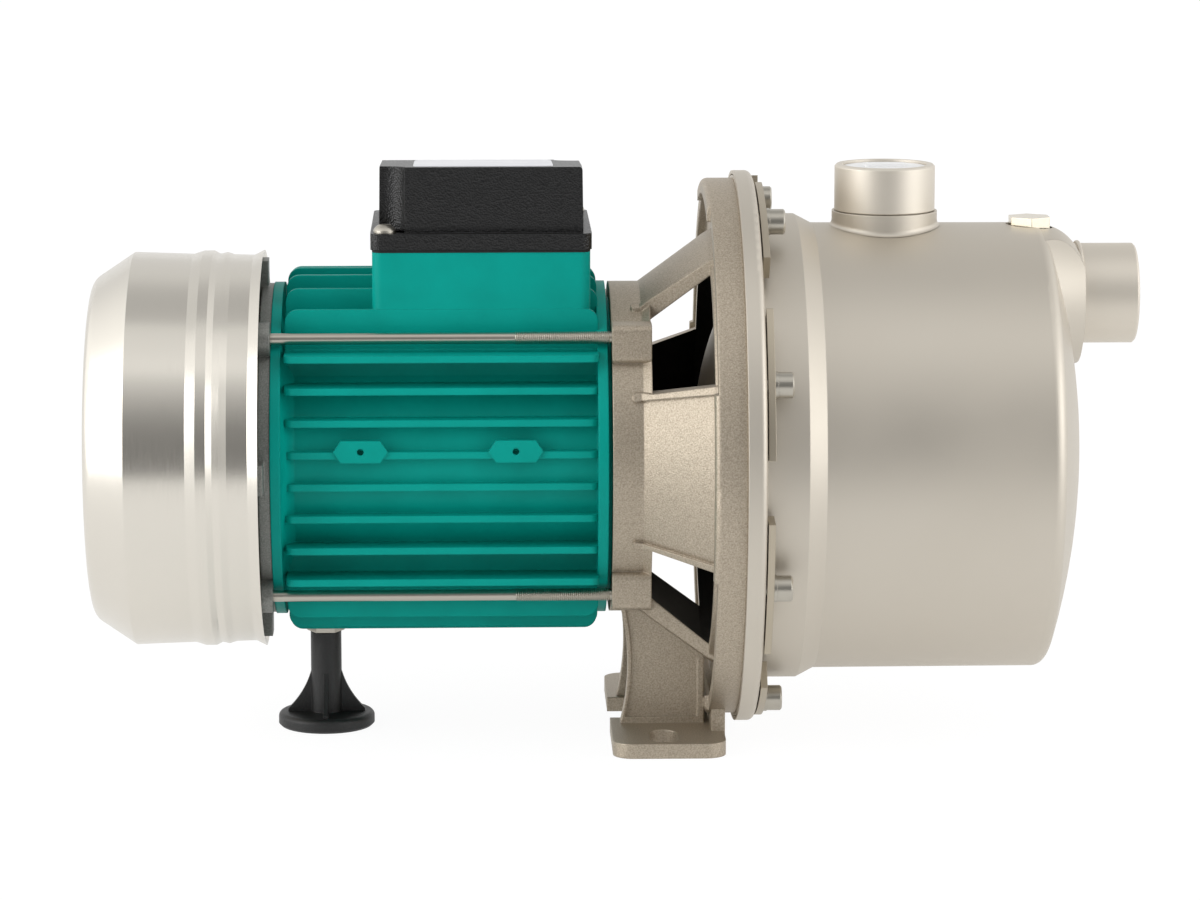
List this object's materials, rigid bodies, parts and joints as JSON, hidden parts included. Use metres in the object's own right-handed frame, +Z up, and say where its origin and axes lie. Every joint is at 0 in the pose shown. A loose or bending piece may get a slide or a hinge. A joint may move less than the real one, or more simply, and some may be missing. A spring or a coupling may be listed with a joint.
{
  "type": "surface jet pump",
  "caption": "Self-priming electric surface jet pump with a finned motor, cast lantern bracket, round steel casing, threaded ports and a screw-up rear foot.",
  "frame": {"origin": "on the floor under the shaft, midway between the two foot slots", "axes": "+X along the shaft from the motor to the suction port, +Z up, +Y to the side of the cable gland"},
  "size_m": [0.4162, 0.221, 0.2305],
  "materials": {
    "frame_paint": "satin paint over a cast frame",
    "shield_cast": "sand cast",
    "bracket_cast": "sand cast, electro-coated",
    "stainless": "satin",
    "clamp_steel": "zinc plated",
    "fastener_steel": "zinc plated",
    "polished_steel": "polished",
    "plug_brass": "bright",
    "shaft_steel": "ground",
    "bearing_steel": "ground",
    "core_steel": "laminated",
    "rotor_aluminium": "die cast",
    "winding_copper": "varnished",
    "black_plastic": "fine grained",
    "inner_plastic": "glass filled",
    "white_plastic": "moulded",
    "black_rubber": "moulded",
    "seal_ceramic": "lapped",
    "seal_carbon": "moulded"
  },
  "bodies": {
    "pump": {"motor_frame": "frame_paint", "rear_end_shield": "shield_cast", "motor_bracket": "bracket_cast", "pump_casing": "stainless", "suction_port": "stainless", "discharge_port": "stainless", "priming_boss": "stainless", "drain_boss": "stainless", "casing_cover": "stainless", "clamp_plates": "clamp_steel", "flange_screws": "fastener_steel", "spring_washers": "fastener_steel", "tie_rods": "fastener_steel", "cover_screws": "fastener_steel", "foot_stud": "fastener_steel", "foot_nut": "fastener_steel", "wave_washer": "fastener_steel", "fan_cover": "polished_steel", "rear_outer_race": "bearing_steel", "front_outer_race": "bearing_steel", "stator_core": "core_steel", "stator_windings": "winding_copper", "terminal_box_cover": "black_plastic", "cable_gland": "black_plastic", "gland_nut": "black_plastic", "diffuser": "inner_plastic", "ejector_body": "inner_plastic", "ejector_nozzle": "inner_plastic", "capacitor": "white_plastic", "terminal_block": "white_plastic", "box_gasket": "black_rubber", "casing_o_ring": "black_rubber", "seal_seat": "seal_ceramic"},
    "rotor": {"shaft": "shaft_steel", "rotor_core": "core_steel", "rotor_rings": "rotor_aluminium", "fan": "black_plastic", "rear_inner_race": "bearing_steel", "front_inner_race": "bearing_steel", "seal_head": "seal_carbon", "slinger": "black_rubber", "impeller": "inner_plastic", "impeller_key": "fastener_steel", "impeller_nut": "fastener_steel"},
    "rear_balls": {"rear_balls": "bearing_steel"},
    "front_balls": {"front_balls": "bearing_steel"},
    "foot": {"support_foot": "black_plastic"},
    "priming_plug": {"priming_plug": "plug_brass"},
    "drain_plug": {"drain_plug": "plug_brass"},
    "discharge_cap": {"discharge_cap": "white_plastic"}
  },
  "joints": [
    {"name": "rotor_spin", "type": "hinge", "parent": "pump", "child": "rotor", "pos_m": [0, 0, 0.1138], "axis": [1, 0, 0], "continuous": true},
    {"name": "rear_balls_spin", "type": "hinge", "parent": "pump", "child": "rear_balls", "pos_m": [0, 0, 0.1138], "axis": [1, 0, 0], "continuous": true},
    {"name": "front_balls_spin", "type": "hinge", "parent": "pump", "child": "front_balls", "pos_m": [0, 0, 0.1138], "axis": [1, 0, 0], "continuous": true},
    {"name": "foot_height", "type": "slide", "parent": "pump", "child": "foot", "axis": [0, 0, 1], "range_m": [-0.006, 0]},
    {"name": "priming_plug_out", "type": "slide", "parent": "pump", "child": "priming_plug", "axis": [0, 0, 1], "range_m": [0, 0.03]},
    {"name": "drain_plug_out", "type": "slide", "parent": "pump", "child": "drain_plug", "axis": [0, 0.7071, -0.7071], "range_m": [0, 0.03]},
    {"name": "discharge_cap_off", "type": "slide", "parent": "pump", "child": "discharge_cap", "axis": [0, 0, 1], "range_m": [0, 0.06]}
  ],
  "couplings": [
    {"joint": "rear_balls_spin", "follows": "rotor_spin", "ratio": 0.392},
    {"joint": "front_balls_spin", "follows": "rotor_spin", "ratio": 0.392}
  ]
}
